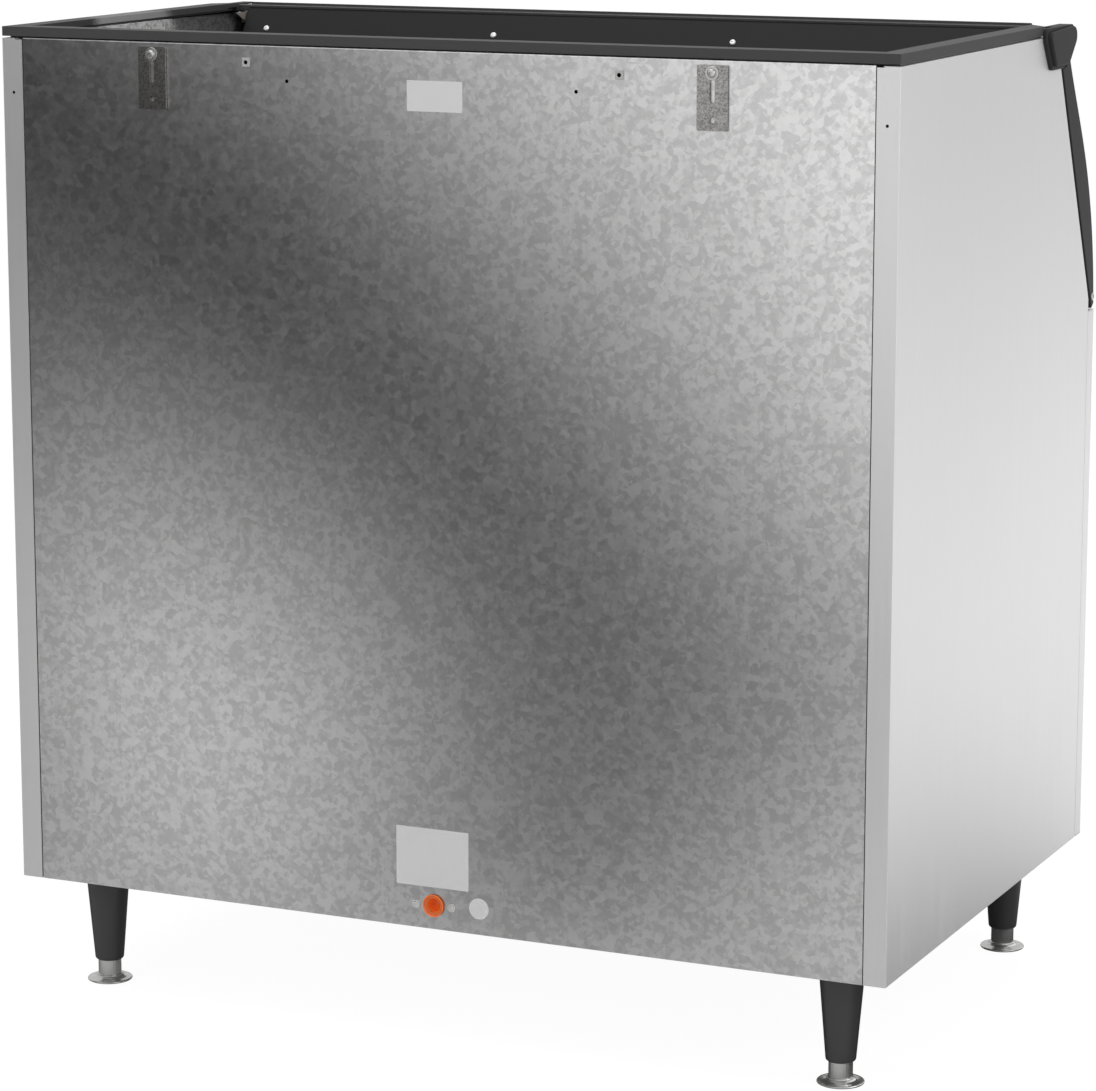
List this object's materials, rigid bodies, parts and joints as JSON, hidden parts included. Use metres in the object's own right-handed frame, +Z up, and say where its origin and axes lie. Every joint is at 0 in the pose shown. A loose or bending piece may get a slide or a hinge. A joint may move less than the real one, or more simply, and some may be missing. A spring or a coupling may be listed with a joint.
{
  "type": "ice storage bin",
  "caption": "Insulated steel ice storage bin on levelling legs, open on top for an ice machine, with a lift-up sloping front door, ice baffle and rear drain.",
  "frame": {"origin": "on the floor, under the middle of the bin's outer box", "axes": "+Z up, -Y to the front (door side), +Y to the rear (drain side), +X to the right for someone who faces the door"},
  "size_m": [1.2422, 0.8035, 1.2805],
  "materials": {
    "stainless": "satin brushed stainless steel",
    "galvanised": "spangled galvanised steel",
    "bracket_zinc": "dark speckled galvanised steel",
    "charcoal_plastic": "satin moulded charcoal",
    "black_plastic": "satin moulded black",
    "liner_plastic": "fine grained moulded grey",
    "foam": "rigid insulating foam",
    "rubber": "soft black seal",
    "white_nylon": "natural moulded nylon",
    "orange_plastic": "satin moulded orange",
    "zinc": "bright zinc plated steel"
  },
  "bodies": {
    "cabinet": {"back_left_leg": "charcoal_plastic", "back_left_leg_plate": "zinc", "back_panel": "galvanised", "back_right_leg": "charcoal_plastic", "back_right_leg_plate": "zinc", "back_wall_insulation": "foam", "baffle_rail": "black_plastic", "baffle_screw_1": "white_nylon", "baffle_screw_2": "white_nylon", "baffle_screw_3": "white_nylon", "baffle_screw_4": "white_nylon", "bottom_panel": "galvanised", "door_header": "black_plastic", "door_sill": "black_plastic", "door_surround": "black_plastic", "drain_tube": "white_nylon", "floor_insulation": "foam", "front_left_leg": "charcoal_plastic", "front_left_leg_plate": "zinc", "front_panel": "stainless", "front_right_leg": "charcoal_plastic", "front_right_leg_plate": "zinc", "front_wall_insulation": "foam", "ice_baffle": "black_plastic", "left_baffle_gusset": "zinc", "left_drain_screw": "zinc", "left_hinge_cap": "charcoal_plastic", "left_hinge_pin": "zinc", "left_hinge_plate": "zinc", "left_side_panel": "stainless", "left_square_nut": "white_nylon", "left_wall_insulation": "foam", "liner": "liner_plastic", "right_baffle_gusset": "zinc", "right_drain_screw": "zinc", "right_hinge_cap": "charcoal_plastic", "right_hinge_pin": "zinc", "right_hinge_plate": "zinc", "right_side_panel": "stainless", "right_square_nut": "white_nylon", "right_wall_insulation": "foam", "top_rim": "charcoal_plastic"},
    "door": {"door_leaf": "charcoal_plastic", "door_insulation": "foam", "door_inner_panel": "liner_plastic", "door_gasket": "rubber", "left_hinge_bush": "white_nylon", "right_hinge_bush": "white_nylon", "left_door_screw": "zinc", "right_door_screw": "zinc"},
    "drain_plug": {"drain_plug": "orange_plastic"},
    "left_bolt": {"left_machine_bolt": "zinc"},
    "left_bracket": {"left_machine_bracket": "bracket_zinc"},
    "right_bolt": {"right_machine_bolt": "zinc"},
    "right_bracket": {"right_machine_bracket": "bracket_zinc"},
    "back_left_foot": {"back_left_foot": "zinc"},
    "back_right_foot": {"back_right_foot": "zinc"},
    "front_left_foot": {"front_left_foot": "zinc"},
    "front_right_foot": {"front_right_foot": "zinc"}
  },
  "joints": [
    {"name": "door_hinge", "type": "hinge", "parent": "cabinet", "child": "door", "pos_m": [0, -0.24062, 1.25236], "axis": [-1, 0, 0], "range_deg": [0, 158]},
    {"name": "drain_plug_pull", "type": "slide", "parent": "cabinet", "child": "drain_plug", "axis": [0, 1, 0], "range_m": [0, 0.04]},
    {"name": "left_bracket_swing", "type": "hinge", "parent": "cabinet", "child": "left_bolt", "pos_m": [-0.3749, 0.39275, 1.2515], "axis": [0, 1, 0], "continuous": true},
    {"name": "left_bracket_lift", "type": "slide", "parent": "left_bolt", "child": "left_bracket", "axis": [0, 0, 1], "range_m": [0, 0.0329]},
    {"name": "right_bracket_swing", "type": "hinge", "parent": "cabinet", "child": "right_bolt", "pos_m": [0.3877, 0.39275, 1.2515], "axis": [0, 1, 0], "continuous": true},
    {"name": "right_bracket_lift", "type": "slide", "parent": "right_bolt", "child": "right_bracket", "axis": [0, 0, 1], "range_m": [0, 0.0329]},
    {"name": "back_left_foot_adjust", "type": "slide", "parent": "cabinet", "child": "back_left_foot", "axis": [0, 0, 1], "range_m": [-0.025, 0.0195]},
    {"name": "back_right_foot_adjust", "type": "slide", "parent": "cabinet", "child": "back_right_foot", "axis": [0, 0, 1], "range_m": [-0.025, 0.0195]},
    {"name": "front_left_foot_adjust", "type": "slide", "parent": "cabinet", "child": "front_left_foot", "axis": [0, 0, 1], "range_m": [-0.025, 0.0195]},
    {"name": "front_right_foot_adjust", "type": "slide", "parent": "cabinet", "child": "front_right_foot", "axis": [0, 0, 1], "range_m": [-0.025, 0.0195]}
  ]
}
